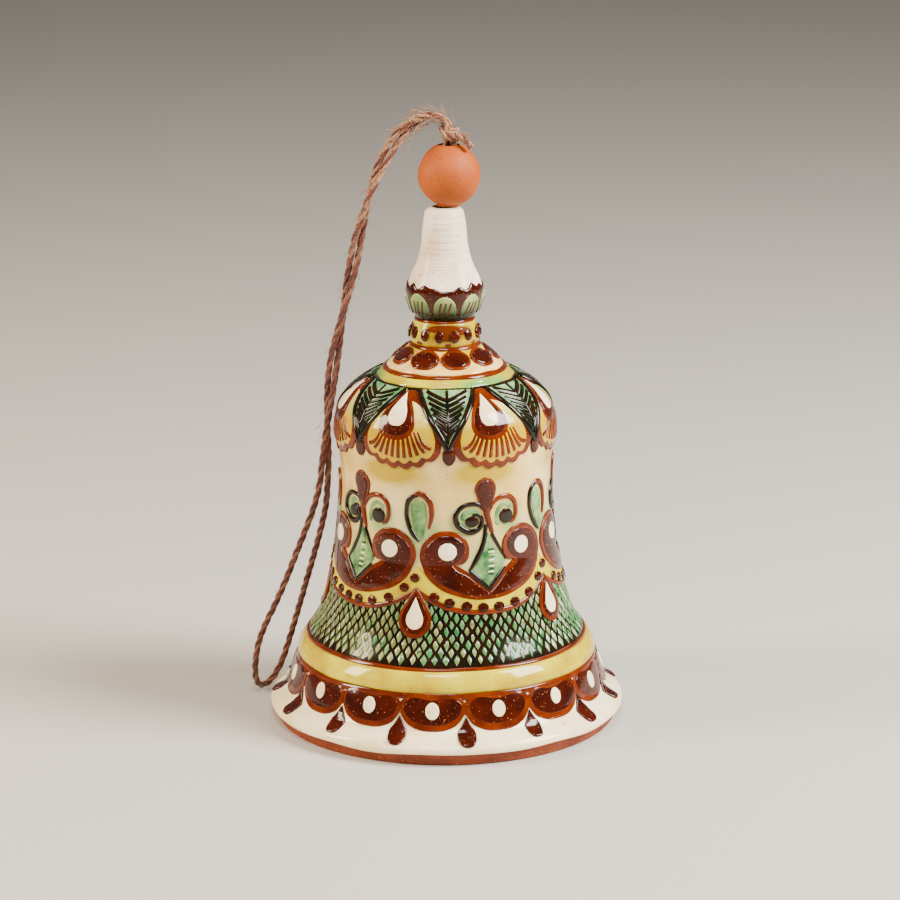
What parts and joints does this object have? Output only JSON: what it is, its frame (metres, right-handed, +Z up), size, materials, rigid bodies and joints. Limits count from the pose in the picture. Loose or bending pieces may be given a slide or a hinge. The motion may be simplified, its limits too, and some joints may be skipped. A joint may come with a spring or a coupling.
{
  "type": "hand bell",
  "caption": "Small ceramic hand bell on a flared rim, with a stem handle, a clay bead on top, a twisted twine hanging loop and a ball clapper inside.",
  "frame": {"origin": "centre of the rim, on the plane that the bell stands on", "axes": "+Z up along the bell's axis, -Y to the front, -X to the side where the hanging loop lies"},
  "size_m": [0.0844, 0.0792, 0.137],
  "materials": {
    "glazed_clay": "red earthenware under cream slip and a clear gloss glaze, painted in brown, yellow and green slip",
    "bare_clay": "fired red clay, unglazed and matte",
    "twine": "twisted cotton twine, one beige ply and one dark red-brown ply"
  },
  "bodies": {
    "bell": {"bell_body": "glazed_clay"},
    "twine": {"top_knot": "twine", "knot_tail": "twine", "bore_twine": "twine", "crown_knot": "twine", "loop_root": "twine"},
    "bead": {"top_bead": "bare_clay"},
    "clapper": {"clapper_twine": "twine", "clapper_ball": "bare_clay", "clapper_knot": "twine"},
    "bend": {"loop_bend": "twine"},
    "loop": {"loop_doubled": "twine", "loop_open": "twine"}
  },
  "joints": [
    {"name": "twine_turn", "type": "hinge", "parent": "bell", "child": "twine", "pos_m": [0, 0, 0.1152], "axis": [0, 0, 1], "range_deg": [-180, 180]},
    {"name": "bead_spin", "type": "hinge", "parent": "twine", "child": "bead", "pos_m": [0.0011, 0, 0.12235], "axis": [0, 0, 1], "continuous": true},
    {"name": "clapper_swing", "type": "hinge", "parent": "twine", "child": "clapper", "pos_m": [0, 0, 0.07195], "axis": [0, 1, 0], "range_deg": [-18, 18]},
    {"name": "loop_lift", "type": "hinge", "parent": "twine", "child": "bend", "pos_m": [-0.0057, 0, 0.1344], "axis": [0, 1, 0], "range_deg": [0, 75]},
    {"name": "loop_unfold", "type": "hinge", "parent": "bend", "child": "loop", "pos_m": [-0.0157, 0.0002, 0.1195], "axis": [0, 1, 0], "range_deg": [0, 70]}
  ]
}
